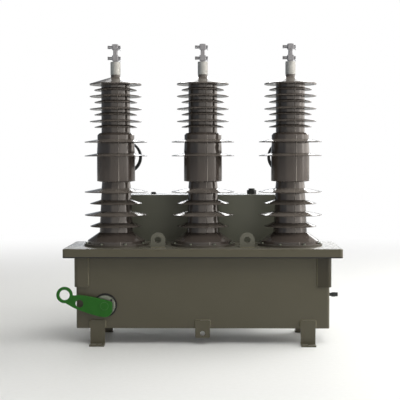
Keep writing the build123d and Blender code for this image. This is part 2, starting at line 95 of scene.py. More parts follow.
def length(label, words, metres):
    """A length setting in metres."""
    return bpy.props.FloatProperty(
        name=label, description=words, default=metres, min=0.0, unit="LENGTH", precision=4
    )


class RecloserColours(bpy.types.PropertyGroup):
    """Colours of the finishes"""

    housing: colour("Housing paint", "Khaki-grey powder coat of tank and lid", "4a4636")
    # Partly dust and partly painted light: level faces are drawn paler
    housing_dust_and_painted_light: colour("Dust", "Pale dust that lies on level paint", "a8a59a")
    # Painted light: the lifting lugs get a paler copy of the tank's coat, for the light that falls
    # on them
    lug_painted_light: colour("Lug paint", "Thinner, paler coat on the two lifting lugs", "5d5c50")
    # Painted highlight: the weld beads get a paler coat, as if they catch the light
    weld: colour("Weld paint", "Coat that lies thick and smooth on weld beads", "5c5846")
    # Painted shade: the right corner bracket gets a darker coat for the shade it stands in
    bracket_painted_shade: colour("Bracket paint", "Darker coat of the right corner bracket", "2e2a1b")
    cabinet: colour("Cabinet paint", "Grey-green powder coat of the rear box", "6c6d5f")
    resin: colour("Pole resin", "Dark brown-grey moulded insulator", "463f3a")
    # Partly bloom and partly painted light on the tops and undersides of the sheds
    resin_bloom_and_painted_light: colour("Resin bloom", "Dull bloom on tops and undersides of the sheds", "837c73")
    # Painted highlight: the mould seams are drawn pale so that they show as bright lines down the
    # poles
    seam: colour("Ground seam", "Resin ground dull along the seams of the mould", "8f8880")
    ring: colour("Base ring paint", "Dark paint of the rings under the poles", "464139")
    tin: colour("Tinned copper", "Tin plating of the stems", "d4d6d3")
    clamp: colour("Clamp metal", "Dull tinned casting of the terminal clamps", "b8b9be")
    zinc: colour("Zinc plating", "Zinc plate on bolts and the bearing plate", "8a9084")
    black: colour("Black nylon", "Moulded nylon of glands and sensor rings", "1b1e1e")
    rubber: colour("Gasket rubber", "Black rubber of the gasket", "0d0e0e")
    enamel: colour("Handle enamel", "Green enamel of the trip handle", "226419")
    # Partly wear and partly painted highlight along the handle's edges
    wear_and_painted_highlight: colour("Worn enamel", "Thin enamel along the edges of the trip handle", "6f9a66")


class RecloserSizes(bpy.types.PropertyGroup):
    """Sizes of the small pieces"""

    bolt_across: length("Ring bolt", "Width across flats of the ring bolts", 10.0 * MM)
    bolt_head: length("Ring bolt head", "Height of the ring bolts' heads", 4.5 * MM)
    bead: length("Weld bead", "Radius of the beads round the lugs", 3.0 * MM)
    wide_bead: length("Wide weld bead", "Radius of the beads on brackets and feet", 5.0 * MM)
    ripple: length("Weld ripple", "Spacing of the ripples along a weld bead", 4.0 * MM)
    screw_across: length("Cover screw", "Width across flats of the cover's screws", 10.0 * MM)
    seam: length("Mould seam", "Half the width of the ridge a mould's halves leave", 1.8 * MM)
    seam_turn: bpy.props.FloatProperty(
        name="Mould seam turn",
        description="Angle from the front to the ridge, about each pole's axis",
        default=math.radians(14),
        unit="ROTATION",
    )
    # Painted shadow: a black strip below the lid's rim stands for the shade under it
    shadow_strip_height: length("Lid edge trim", "Height of the rubber strip below the lid's rim", 4.5 * MM)
    plate_screw: length("Plate screw", "Radius of the bearing plate's screw heads", 4.0 * MM)
    plate_circle: length("Plate screw circle", "Radius of the circle of those screws", 32.5 * MM)


# Surfaces: each is points plus quads plus triangles


def shape(points, quads, tris=()):
    """A surface as arrays of points, four-sided faces and triangles."""
    return {
        "points": np.asarray(points, float).reshape(-1, 3),
        "quads": np.asarray(quads, int),
        "tris": np.asarray(tris, int).reshape(-1, 3),
    }


def joined(shapes):
    """Several surfaces as one: face numbers move up by the points that come before."""
    counts = np.cumsum([0] + [len(s["points"]) for s in shapes[:-1]])
    return shape(
        np.concatenate([s["points"] for s in shapes]),
        np.concatenate([s["quads"] + n for s, n in zip(shapes, counts)]),
        np.concatenate([s["tris"] + n for s, n in zip(shapes, counts)]),
    )


def ring_stack(levels, radii, steps=48):
    """Closed rings about +Z: ring k is at height levels[k] with radius radii[k] at each angle.

    radii is one number a ring, or one number for each ring and angle. A centre point closes
    the first and the last ring. Levels that rise make faces that point outwards.
    """
    angles = np.arange(steps) * 2 * math.pi / steps
    levels = np.asarray(levels, float)
    radii = np.asarray(radii, float)
    if radii.ndim == 1:
        radii = np.repeat(radii[:, None], steps, axis=1)
    x = radii * np.cos(angles)
    y = radii * np.sin(angles)
    z = np.repeat(levels[:, None], steps, axis=1)
    rings = np.stack([x, y, z], axis=2).reshape(-1, 3)
    ends = np.array([[0, 0, levels[0]], [0, 0, levels[-1]]])
    k = np.arange(len(levels) - 1)[:, None] * steps
    j = np.arange(steps)[None, :]
    right = (j + 1) % steps
    quads = np.stack([k + j, k + right, k + steps + right, k + steps + j], axis=2).reshape(-1, 4)
    last = (len(levels) - 1) * steps
    bottom = len(rings)
    top = bottom + 1
    j = j[0]
    right = right[0]
    low = np.stack([right, j, np.full(steps, bottom)], axis=1)
    high = np.stack([last + j, last + right, np.full(steps, top)], axis=1)
    return shape(np.concatenate([rings, ends]), quads, np.concatenate([low, high]))


def rounded_frame(low, high, corner, width, top, height, steps=8):
    """A flat strip round a rounded rectangle in plan, its outer line through low and high.

    Each corner is a quarter circle, centre + r (cos t, sin t), with r = corner on the outer
    line and r = corner - width on the inner one; the strip hangs from top by height.
    """
    t = np.linspace(0, math.pi / 2, steps)
    t = np.concatenate([t + k * math.pi / 2 for k in range(4)])
    quarter = np.repeat(np.arange(4), steps)
    x = np.where((quarter == 0) | (quarter == 3), high.x - corner, low.x + corner)
    y = np.where(quarter < 2, high.y - corner, low.y + corner)
    inner = corner - width
    low_edge = top - height
    rows = []
    for radius, level in ((corner, low_edge), (corner, top), (inner, top), (inner, low_edge)):
        line = [x + radius * np.cos(t), y + radius * np.sin(t), np.full(len(t), level)]
        rows.append(np.stack(line, axis=1))
    count = len(t)
    i = np.arange(count)
    after = (i + 1) % count
    quads = []
    for j in range(4):
        k = (j + 1) % 4
        quads.append(
            np.stack([j * count + i, j * count + after, k * count + after, k * count + i], axis=1)
        )
    return shape(np.concatenate(rows), np.concatenate(quads))


def hexagon(across, steps=48):
    """Radius of a hexagon at each angle: half the width across flats over the cosine of the
    angle to the middle of the nearest flat."""
    angles = np.arange(steps) * 2 * math.pi / steps
    to_flat = (angles + math.pi / 6) % (math.pi / 3) - math.pi / 6
    return across / 2 / np.cos(to_flat)


def bolt_head(across, height, steps=48):
    """A washer and a hexagon head that stand on z=0, the head's corners cut by a shallow cone."""
    washer_height = height * 0.22
    washer = np.full(steps, across * 0.66)
    flat = hexagon(across, steps)
    cone = np.full(steps, across * 0.48)
    top = washer_height + height
    levels = [0, washer_height * 0.8, washer_height, washer_height, top * 0.9, top, top]
    rows = [washer, washer, washer * 0.96, flat, flat, cone, cone * 0.82]
    return ring_stack(levels, np.stack(rows), steps)


def placed(surface, origin, x_dir=(1, 0, 0), z_dir=(0, 0, 1)):
    """A surface turned so that its X and Z run along x_dir and z_dir, and moved to origin."""
    x_axis = np.array(x_dir, float)
    z_axis = np.array(z_dir, float)
    x_axis /= np.linalg.norm(x_axis)
    z_axis /= np.linalg.norm(z_axis)
    turn = np.stack([x_axis, np.cross(z_axis, x_axis), z_axis])
    return shape(surface["points"] @ turn + np.array(origin), surface["quads"], surface["tris"])


def bead(start, end, radius, ripple, steps=10):
    """A weld bead: circles along a straight line, with radius r (1 + 0.16 |sin(pi s / ripple)|)
    at the length s, that gets thin towards both ends."""
    start = np.array(start, float)
    end = np.array(end, float)
    run = np.linalg.norm(end - start)
    count = max(8, int(run / ripple * 4))
    along = np.linspace(0, 1, count)
    drops = 1 + 0.16 * np.abs(np.sin(math.pi * along * run / ripple))
    ends = np.sqrt(np.clip(1 - np.abs(2 * along - 1) ** (run / radius), 0.02, 1))
    direction = (end - start) / run
    side = np.cross(direction, (0.31, 0.57, 0.76))
    rod = ring_stack(along * run, radius * drops * ends, steps)
    return placed(rod, start, side, direction)


def screw_head(radius, height, depth, steps=32):
    """A pan-head screw on z=0: a rim of 0.3 h, rings with r = R sqrt(cos t) that rise from it
    with z = 0.3 h + 0.7 h sin t, and a round recess in the middle of the top."""
    t = np.linspace(0, math.pi / 2, 6)[:-1]
    recess = [radius * 0.3, radius * 0.25]
    radii = np.concatenate([[radius], radius * np.cos(t) ** 0.5, recess])
    domed = 0.3 * height + 0.7 * height * np.sin(t)
    levels = np.concatenate([[0], domed, [height, height - depth]])
    return ring_stack(levels, radii, steps)


def make_piece(name, surface, material, body, sharp=35.0):
    """A mesh object from one surface, smooth but for edges sharper than the angle, on a body."""
    mesh = bpy.data.meshes.new(name)
    points, quads, tris = surface["points"], surface["quads"], surface["tris"]
    corners = np.concatenate([quads.ravel(), tris.ravel()])
    totals = np.concatenate([np.full(len(quads), 4), np.full(len(tris), 3)])
    starts = np.concatenate([[0], np.cumsum(totals)[:-1]])
    mesh.vertices.add(len(points))
    mesh.vertices.foreach_set("co", points.astype(np.float32).ravel())
    mesh.loops.add(len(corners))
    mesh.loops.foreach_set("vertex_index", corners.astype(np.int32))
    mesh.polygons.add(len(totals))
    mesh.polygons.foreach_set("loop_start", starts.astype(np.int32))
    mesh.polygons.foreach_set("loop_total", totals.astype(np.int32))
    mesh.update(calc_edges=True)
    mesh.validate()
    mesh.shade_smooth()
    mesh.set_sharp_from_angle(angle=math.radians(sharp))
    mesh.materials.append(material)
    piece = bpy.data.objects.new(name, mesh)
    bpy.context.scene.collection.objects.link(piece)
    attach(piece, body)


# Materials


def add_node(tree, kind, inputs=None, **settings):
    """Adds one node: settings go on the node, inputs are values or sockets to link from."""
    new = tree.nodes.new(kind)
    for name, value in settings.items():
        setattr(new, name, value)
    for name, value in (inputs or {}).items():
        if isinstance(value, bpy.types.NodeSocket):
            tree.links.new(value, new.inputs[name])
        else:
            new.inputs[name].default_value = value
    return new


def new_material(name):
    """An empty node material, its node tree and its Object coordinates."""
    material = bpy.data.materials.new(name)
    material.use_nodes = True
    tree = material.node_tree
    tree.nodes.clear()
    place = add_node(tree, "ShaderNodeTexCoord").outputs["Object"]
    return material, tree, place


def shade(rgba, share, lift=0.0):
    """A colour made darker or paler: every channel times share, plus lift."""
    return (*(share * c + lift for c in rgba[:3]), 1.0)


def upward(tree, start, end):
    """How level a face lies: 0 on walls, 1 on faces that look up, or down where end is below 0."""
    normal = add_node(tree, "ShaderNodeNewGeometry").outputs["Normal"]
    height = add_node(tree, "ShaderNodeSeparateXYZ", {"Vector": normal}).outputs["Z"]
    ramp = add_node(
        tree,
        "ShaderNodeMapRange",
        {"Value": height, "From Min": start, "From Max": end},
        interpolation_type="SMOOTHSTEP",
    )
    return ramp.outputs["Result"]


def powder_coat(name, paint, dust_and_painted_light, roughness=0.42):
    """Powder coat on sheet steel: baked polyester, semi-matt with a fine orange peel.

    The eye sees a slightly mottled, soft sheen, and pale dust where the sheet lies level; the paler
    level faces are partly painted light from above.
    """
    material, tree, place = new_material(name)
    # Cloudy tone of the coat, about 150 mm from cloud to cloud
    clouds = add_node(
        tree, "ShaderNodeTexNoise", {"Vector": place, "Scale": 7.0, "Detail": 4.0}
    ).outputs["Fac"]
    tone = add_node(
        tree,
        "ShaderNodeMapRange",
        {"Value": clouds, **NOISE_SPAN, "To Min": 0.0, "To Max": 0.16},
    ).outputs["Result"]
    darker = shade(paint, 0.72)
    base = add_node(
        tree, "ShaderNodeMix", {"Factor": tone, FIRST: paint, SECOND: darker}, data_type="RGBA"
    ).outputs[MIXED]
    # Dust lies on level faces in soft patches, about 110 mm across, and the lift it gives level
    # faces is partly painted light
    patches = add_node(
        tree,
        "ShaderNodeTexNoise",
        {"Vector": place, "Scale": 9.0, "Detail": 3.0, "Roughness": 0.45},
    ).outputs["Fac"]
    level = upward(tree, 0.6, 1.0)
    paler_share = add_node(
        tree,
        "ShaderNodeMapRange",
        {"Value": patches, **NOISE_SPAN, "To Min": 0.19, "To Max": 0.26},
    ).outputs["Result"]
    lightened_share = add_node(tree, "ShaderNodeMath", {0: level, 1: paler_share}, operation="MULTIPLY").outputs[0]
    base = add_node(
        tree, "ShaderNodeMix", {"Factor": lightened_share, FIRST: base, SECOND: dust_and_painted_light}, data_type="RGBA"
    ).outputs[MIXED]
    smoothest = roughness - 0.05
    roughest = roughness + 0.07
    walls = add_node(
        tree,
        "ShaderNodeMapRange",
        {"Value": patches, **NOISE_SPAN, "To Min": smoothest, "To Max": roughest},
    ).outputs["Result"]
    # Powder flows out smoother where the sheet lies level
    rough = add_node(
        tree, "ShaderNodeMath", {0: level, 1: -0.16, 2: walls}, operation="MULTIPLY_ADD"
    ).outputs[0]
    # Orange peel of baked powder, real cells 1.5 mm, drawn at 2.5 mm so that it shows
    peel = add_node(
        tree, "ShaderNodeTexNoise", {"Vector": place, "Scale": 400.0, "Detail": 2.0}
    ).outputs["Fac"]
    bump = add_node(tree, "ShaderNodeBump", {"Height": peel, "Strength": 0.12, "Distance": 0.0004})
    shader = add_node(
        tree,
        "ShaderNodeBsdfPrincipled",
        {"Base Color": base, "Roughness": rough, "Normal": bump.outputs[0], "IOR": 1.5},
    )
    add_node(tree, "ShaderNodeOutputMaterial", {"Surface": shader.outputs[0]})
    return material


def moulded_resin(name, resin, bloom_and_painted_light):
    """Cast insulator resin: dark, dense and glossy from a polished mould.

    The eye sees sharp bright reflections on the walls, and a paler, dull bloom on the tops and
    undersides of the sheds, which is partly painted light: tops lit from above, undersides lit from
    below.
    """
    material, tree, place = new_material(name)
    # Cloudy bloom and polish, about 55 mm from cloud to cloud
    clouds = add_node(
        tree, "ShaderNodeTexNoise", {"Vector": place, "Scale": 18.0, "Detail": 5.0}
    ).outputs["Fac"]
    # Paler tops and undersides of the sheds: partly bloom, partly painted light from above and
    # painted bounce light from below
    level = upward(tree, 0.8, 1.0)
    below = upward(tree, -0.5, -0.95)
    either = add_node(tree, "ShaderNodeMath", {0: level, 1: below}, operation="MAXIMUM").outputs[0]
    lightened_share = add_node(
        tree, "ShaderNodeMath", {0: either, 1: clouds}, operation="MULTIPLY"
    ).outputs[0]
    base = add_node(
        tree, "ShaderNodeMix", {"Factor": lightened_share, FIRST: resin, SECOND: bloom_and_painted_light}, data_type="RGBA"
    ).outputs[MIXED]
    polish = add_node(
        tree,
        "ShaderNodeMapRange",
        {"Value": clouds, **NOISE_SPAN, "To Min": 0.09, "To Max": 0.17},
    ).outputs["Result"]
    rough = add_node(
        tree, "ShaderNodeMath", {0: level, 1: 0.04, 2: polish}, operation="MULTIPLY_ADD"
    ).outputs[0]
    # Film on level faces: it takes most of the mirror off undersides and some off the tops
    tops = add_node(tree, "ShaderNodeMath", {0: level, 1: 0.6}, operation="MULTIPLY").outputs[0]
    haze = add_node(tree, "ShaderNodeMath", {0: tops, 1: below}, operation="MAXIMUM").outputs[0]
    film = add_node(
        tree, "ShaderNodeMath", {0: haze, 1: -0.42, 2: 0.5}, operation="MULTIPLY_ADD"
    ).outputs[0]
    lacquer = add_node(
        tree, "ShaderNodeMath", {0: haze, 1: -0.3, 2: 0.3}, operation="MULTIPLY_ADD"
    ).outputs[0]
    # Faint flow marks of the casting, about 12 mm apart, stretched along the height
    stretch = add_node(
        tree, "ShaderNodeMapping", {"Vector": place, "Scale": (80.0, 80.0, 14.0)}
    ).outputs["Vector"]
    flow = add_node(tree, "ShaderNodeTexNoise", {"Vector": stretch, "Scale": 1.0}).outputs["Fac"]
    bump = add_node(tree, "ShaderNodeBump", {"Height": flow, "Strength": 0.06, "Distance": 0.0006})
    shader = add_node(
        tree,
        "ShaderNodeBsdfPrincipled",
        {
            "Base Color": base,
            "Roughness": rough,
            "Normal": bump.outputs[0],
            "IOR": 1.52,
            "Specular IOR Level": film,
            "Coat Weight": lacquer,
            "Coat Roughness": rough,
        },
    )
    add_node(tree, "ShaderNodeOutputMaterial", {"Surface": shader.outputs[0]})
    return material


def seam_highlight_resin(name, resin):
    """Resin of the insulators along the seam of the mould, drawn paler than the poles.

    The paler, dull line is a painted highlight that stands in for a bright reflection line; fine
    marks run across it.
    """
    material, tree, place = new_material(name)
    # Scratches across the seam, real ones 0.2 mm apart, drawn at 1 mm so that they show
    stretch = add_node(
        tree, "ShaderNodeMapping", {"Vector": place, "Scale": (100.0, 100.0, 1000.0)}
    ).outputs["Vector"]
    scratches = add_node(
        tree, "ShaderNodeTexNoise", {"Vector": stretch, "Scale": 1.0}
    ).outputs["Fac"]
    darker = shade(resin, 0.6)
    base = add_node(
        tree, "ShaderNodeMix", {"Factor": scratches, FIRST: resin, SECOND: darker}, data_type="RGBA"
    ).outputs[MIXED]
    bump = add_node(
        tree, "ShaderNodeBump", {"Height": scratches, "Strength": 0.2, "Distance": 0.0003}
    )
    shader = add_node(
        tree,
        "ShaderNodeBsdfPrincipled",
        {"Base Color": base, "Roughness": 0.45, "Normal": bump.outputs[0]},
    )
    add_node(tree, "ShaderNodeOutputMaterial", {"Surface": shader.outputs[0]})
    return material


def plated_metal(name, metal, rough_low, rough_high, grain):
    """Plated metal, tin or zinc, on a turned or cast piece.

    The eye sees a soft metallic sheen with fine uneven spangle; grain is its size in metres.
    """
    material, tree, place = new_material(name)
    spangle = add_node(
        tree, "ShaderNodeTexNoise", {"Vector": place, "Scale": 1.0 / grain, "Detail": 3.0}
    ).outputs["Fac"]
    tone = add_node(
        tree,
        "ShaderNodeMapRange",
        {"Value": spangle, **NOISE_SPAN, "To Min": 0.0, "To Max": 0.35},
    ).outputs["Result"]
    darker = shade(metal, 0.6)
    base = add_node(
        tree, "ShaderNodeMix", {"Factor": tone, FIRST: metal, SECOND: darker}, data_type="RGBA"
    ).outputs[MIXED]
    rough = add_node(
        tree,
        "ShaderNodeMapRange",
        {"Value": spangle, **NOISE_SPAN, "To Min": rough_low, "To Max": rough_high},
    ).outputs["Result"]
    bump = add_node(
        tree, "ShaderNodeBump", {"Height": spangle, "Strength": 0.08, "Distance": 0.0003}
    )
    shader = add_node(
        tree,
        "ShaderNodeBsdfPrincipled",
        {"Base Color": base, "Roughness": rough, "Metallic": 1.0, "Normal": bump.outputs[0]},
    )
    add_node(tree, "ShaderNodeOutputMaterial", {"Surface": shader.outputs[0]})
    return material


def moulded_nylon(name, black, rough):
    """Injection-moulded nylon or rubber from a spark-eroded mould.

    The eye sees a nearly black, slightly cloudy face with a fine grain.
    """
    material, tree, place = new_material(name)
    # Grain of the mould, real pits 0.3 mm, drawn at 1 mm so that it shows
    grain = add_node(
        tree, "ShaderNodeTexNoise", {"Vector": place, "Scale": 1000.0, "Detail": 2.0}
    ).outputs["Fac"]
    # Cloudy tone, about 25 mm from cloud to cloud
    clouds = add_node(tree, "ShaderNodeTexNoise", {"Vector": place, "Scale": 40.0}).outputs["Fac"]
    paler = shade(black, 1.8, 0.004)
    base = add_node(
        tree, "ShaderNodeMix", {"Factor": clouds, FIRST: black, SECOND: paler}, data_type="RGBA"
    ).outputs[MIXED]
    bump = add_node(tree, "ShaderNodeBump", {"Height": grain, "Strength": 0.2, "Distance": 0.0003})
    shader = add_node(
        tree,
        "ShaderNodeBsdfPrincipled",
        {"Base Color": base, "Roughness": rough, "Normal": bump.outputs[0]},
    )
    add_node(tree, "ShaderNodeOutputMaterial", {"Surface": shader.outputs[0]})
    return material


def sprayed_enamel(name, enamel, wear_and_painted_highlight):
    """Green enamel sprayed on a steel lever.

    The eye sees a satin, slightly uneven coat that is paler along the edges, partly from wear and
    partly as a painted highlight.
    """
    material, tree, place = new_material(name)
    # Uneven coat, about 33 mm from cloud to cloud
    clouds = add_node(
        tree, "ShaderNodeTexNoise", {"Vector": place, "Scale": 30.0, "Detail": 4.0}
    ).outputs["Fac"]
    darker = shade(enamel, 0.6)
    base = add_node(
        tree, "ShaderNodeMix", {"Factor": clouds, FIRST: enamel, SECOND: darker}, data_type="RGBA"
    ).outputs[MIXED]
    # Edge wear and painted highlight: where a normal rounded over 4 mm leaves the true one, the
    # enamel is drawn paler
    rounded = add_node(tree, "ShaderNodeBevel", {"Radius": 4.0 * MM}, samples=6).outputs["Normal"]
    true = add_node(tree, "ShaderNodeNewGeometry").outputs["Normal"]
    same = add_node(
        tree, "ShaderNodeVectorMath", {0: rounded, 1: true}, operation="DOT_PRODUCT"
    ).outputs["Value"]
    paler_share = add_node(
        tree,
        "ShaderNodeMapRange",
        {"Value": same, "From Min": 0.97, "From Max": 0.7, "To Min": 0.0, "To Max": 0.5},
    ).outputs["Result"]
    base = add_node(
        tree, "ShaderNodeMix", {"Factor": paler_share, FIRST: base, SECOND: wear_and_painted_highlight}, data_type="RGBA"
    ).outputs[MIXED]
    # Spray texture, real cells 1 mm, drawn at 3 mm so that it shows
    peel = add_node(tree, "ShaderNodeTexNoise", {"Vector": place, "Scale": 350.0}).outputs["Fac"]
    bump = add_node(tree, "ShaderNodeBump", {"Height": peel, "Strength": 0.15, "Distance": 0.0004})
    shader = add_node(
        tree,
        "ShaderNodeBsdfPrincipled",
        {
            "Base Color": base,
            "Roughness": 0.5,
            "Normal": bump.outputs[0],
            "Specular IOR Level": 0.25,
        },
    )
    add_node(tree, "ShaderNodeOutputMaterial", {"Surface": shader.outputs[0]})
    return material


# Powder flows out smooth on weld beads, and stays rough on the right corner bracket
WELD_ROUGH = 0.22
BRACKET_ROUGH = 0.6


def material_set(colours):
    """Every finish of the recloser, by the record's slot names and four names of its own."""
    dust_and_painted_light = colours.housing_dust_and_painted_light
    return {
        "housing_paint": powder_coat("khaki_powder_coat", colours.housing, dust_and_painted_light),
        # The lugs' paler coat is painted light
        "lug_painted_light": powder_coat("lug_coat_painted_light", colours.lug_painted_light, dust_and_painted_light),
        "weld": powder_coat("weld_coat_painted_highlight", colours.weld, dust_and_painted_light, WELD_ROUGH),
        # The right corner bracket's darker coat is painted shade
        "bracket_painted_shade": powder_coat("bracket_coat_painted_shade", colours.bracket_painted_shade, dust_and_painted_light, BRACKET_ROUGH),
        "cabinet_paint": powder_coat("grey_green_powder_coat", colours.cabinet, dust_and_painted_light),
        "pole_resin": moulded_resin("moulded_pole_resin", colours.resin, colours.resin_bloom_and_painted_light),
        "seam_painted_highlight": seam_highlight_resin("seam_resin_painted_highlight", colours.seam),
        "base_ring_paint": powder_coat("dark_ring_paint", colours.ring, dust_and_painted_light),
        "tinned_metal": plated_metal("tinned_copper", colours.tin, 0.42, 0.55, 6 * MM),
        "clamp_metal": plated_metal("tinned_clamp_casting", colours.clamp, 0.4, 0.55, 3 * MM),
        "galvanised_steel": plated_metal("zinc_plated_steel", colours.zinc, 0.35, 0.5, 4 * MM),
        "black_plastic": moulded_nylon("black_moulded_nylon", colours.black, 0.42),
        "gasket_rubber": moulded_nylon("black_gasket_rubber", colours.rubber, 0.6),
        "handle_enamel": sprayed_enamel("green_handle_enamel", colours.enamel, colours.wear_and_painted_highlight),
    }


# Operators, one for each group of pieces

# Filled by the finishes operator, for the operators after it
MATERIALS = {}

# Pieces that don't have the plain finish of their slot: the lugs get a paler coat as painted light,
# and the right corner bracket a darker one as painted shade
OWN_COATS = {
    "lifting_lug_left": "lug_painted_light",
    "lifting_lug_right": "lug_painted_light",
    "corner_front_right": "bracket_painted_shade",
}


class RECLOSER_OT_finishes(bpy.types.Operator):
    """Gives every piece of the frame its procedural material"""

    bl_idname = "recloser.finishes"
    bl_label = "Finishes"

    def execute(self, context):
        MATERIALS.update(material_set(context.scene.recloser_colours))
        slots = {part["node"]: part["material_slot"] for part in frame["record"]["subparts"]}
        slots.update(OWN_COATS)
        for node, piece in frame["nodes"].items():
            for place in piece.material_slots:
                place.material = MATERIALS[slots[node]]
        return {"FINISHED"}


# A wall of a pole that carries a seam: how far its normal may tilt, its least height and radius
WALL_TILT = 0.1
WALL_HEIGHT = 5 * MM
WALL_RADIUS = 45 * MM


def upright_runs(piece, centre):
    """Upright stretches of a turned piece: {(low, high): (radius at low, radius at high)} of
    every wall in the front half that is tall and wide enough for a seam.

    A wall is a triangle whose normal lies level. Low and high are the heights of its lowest
    and highest corner, and a radius is the distance of that corner from the pole's axis.
    """
    mesh = piece.data
    points = np.empty(len(mesh.vertices) * 3, np.float32)
    mesh.vertices.foreach_get("co", points)
    corners = np.empty(len(mesh.loops), np.int32)
    mesh.loops.foreach_get("vertex_index", corners)
    normals = np.empty(len(mesh.polygons) * 3, np.float32)
    mesh.polygons.foreach_get("normal", normals)
    x, y, z = points.astype(float).reshape(-1, 3)[corners].reshape(-1, 3, 3).transpose(2, 0, 1)
    radii = np.hypot(x - centre.x, y - centre.y)
    face = np.arange(len(z))
    low = z.argmin(axis=1)
    high = z.argmax(axis=1)
    fits = (
        (np.abs(normals[2::3]) < WALL_TILT)
        & (z[face, high] - z[face, low] > WALL_HEIGHT)
        & (radii[face, high] > WALL_RADIUS)
        & (y.max(axis=1) < centre.y)
    )
    spans = np.stack([z[face, low], z[face, high]], axis=1)[fits].round(4).tolist()
    ends = np.stack([radii[face, low], radii[face, high]], axis=1)[fits].tolist()
    return dict(zip(map(tuple, spans), ends))


class RECLOSER_OT_mould_seams(bpy.types.Operator):
    """The fine ridges that the halves of the mould leave down both sides of a pole"""

    bl_idname = "recloser.mould_seams"
    bl_label = "Mould seams"

    def execute(self, context):
        sizes = context.scene.recloser_sizes
        for phase in PHASES:
            low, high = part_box(f"pole_{phase}_base_ring")
            centre = (low + high) / 2
            runs = upright_runs(frame["nodes"][f"pole_{phase}_column"], centre)
            ridges = []
            for turn in (sizes.seam_turn, sizes.seam_turn + math.pi):
                out = np.array([math.sin(turn), -math.cos(turn), 0.0])
                for (bottom, top), (first, last) in runs.items():
                    start = out * first + (centre.x, centre.y, bottom)
                    end = out * last + (centre.x, centre.y, top)
                    run = float(np.linalg.norm(end - start))
                    rod = ring_stack([0, run], [sizes.seam, sizes.seam], 12)
                    ridges.append(placed(rod, start, out, end - start))
            # The seams' pale resin is a painted highlight
            make_piece(
                f"mould_seams_{phase}", joined(ridges), MATERIALS["seam_painted_highlight"],
                "housing", sharp=80.0,
            )
        return {"FINISHED"}


# Bolts on each base ring, how far their circle lies inside its edge, and each head's own turn
RING_BOLTS = 8
RING_INSET = 6.8 * MM
HEAD_TURN = 1.7


class RECLOSER_OT_ring_bolts(bpy.types.Operator):
    """Hexagon bolts with washers round each pole's base ring"""

    bl_idname = "recloser.ring_bolts"
    bl_label = "Ring bolts"

    def execute(self, context):
        sizes = context.scene.recloser_sizes
        head = bolt_head(sizes.bolt_across, sizes.bolt_head)
        for phase in PHASES:
            low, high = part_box(f"pole_{phase}_base_ring")
            centre = (low + high) / 2
            circle = (high.x - low.x) / 2 - RING_INSET
            bolts = []
            for index in range(RING_BOLTS):
                angle = (index + 0.5) * 2 * math.pi / RING_BOLTS
                spot = (
                    centre.x + circle * math.cos(angle),
                    centre.y + circle * math.sin(angle),
                    high.z,
                )
                turned = (math.cos(angle * HEAD_TURN), math.sin(angle * HEAD_TURN), 0)
                bolts.append(placed(head, spot, turned))
            make_piece(
                f"ring_bolts_{phase}", joined(bolts), MATERIALS["galvanised_steel"],
                "housing",
            )
        return {"FINISHED"}


# Thickness of the sheet that the corner brackets are bent from
CORNER_SHEET = 7.0 * MM


class RECLOSER_OT_welds(bpy.types.Operator):
    """Weld beads where feet, corner brackets and lugs meet the tank and the lid"""

    bl_idname = "recloser.welds"
    bl_label = "Weld beads"

    def execute(self, context):
        sizes = context.scene.recloser_sizes
        radius = sizes.bead
        wide = sizes.wide_bead
        ripple = sizes.ripple
        wall_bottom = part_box("tank_shell")[0].z
        beads = []
        for name in ("front_left", "front_right"):
            low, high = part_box(f"corner_{name}")
            inner, outer = (high.x, low.x) if "left" in name else (low.x, high.x)
            wall = low.y + CORNER_SHEET
            beads.append(bead((inner, wall, low.z), (inner, wall, high.z), wide, ripple))
            side = outer + CORNER_SHEET * (1 if "left" in name else -1)
            beads.append(bead((side, high.y, low.z), (side, high.y, high.z), wide, ripple))
        for name in ("front_left", "front_right", "rear_left", "rear_right"):
            low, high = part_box(f"foot_{name}")
            wall = high.y if "front" in name else low.y
            for x in (low.x, high.x):
                beads.append(bead((x, wall, wall_bottom), (x, wall, high.z), wide, ripple))
            beads.append(bead((low.x, wall, high.z), (high.x, wall, high.z), radius, ripple))
        for name in ("left", "right"):
            low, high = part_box(f"lifting_lug_{name}")
            for y in (low.y, high.y):
                beads.append(bead((low.x, y, low.z), (high.x, y, low.z), radius, ripple))
        low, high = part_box("earth_lug")
        for x in (low.x, high.x):
            beads.append(bead((x, high.y, wall_bottom), (x, high.y, high.z), radius, ripple))
        beads.append(bead((low.x, high.y, high.z), (high.x, high.y, high.z), radius, ripple))
        # The beads' paler coat is a painted highlight
        make_piece(
            "housing_welds", joined(beads), MATERIALS["weld"], "housing"
        )
        return {"FINISHED"}


# Radius of the lid's corners in plan, and width of the painted shadow strip from the lid's edge
# inwards
LID_CORNER = 12.0 * MM
SHADOW_STRIP_WIDTH = 5.0 * MM


class RECLOSER_OT_lid_shadow_line(bpy.types.Operator):
    """Black strip along the lower edge of the lid's rim: a painted shadow line under the rim"""

    bl_idname = "recloser.lid_trim"
    bl_label = "Lid edge trim"

    def execute(self, context):
        low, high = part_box("tank_lid")
        strip = rounded_frame(
            low, high, LID_CORNER, SHADOW_STRIP_WIDTH, low.z, context.scene.recloser_sizes.shadow_strip_height
        )
        make_piece(
            "lid_painted_shadow_strip", strip, MATERIALS["gasket_rubber"], "housing"
        )
        return {"FINISHED"}


# Screws in the bearing plate, and degrees from its right side to the first one
PLATE_SCREWS = 4
PLATE_TURN = 40


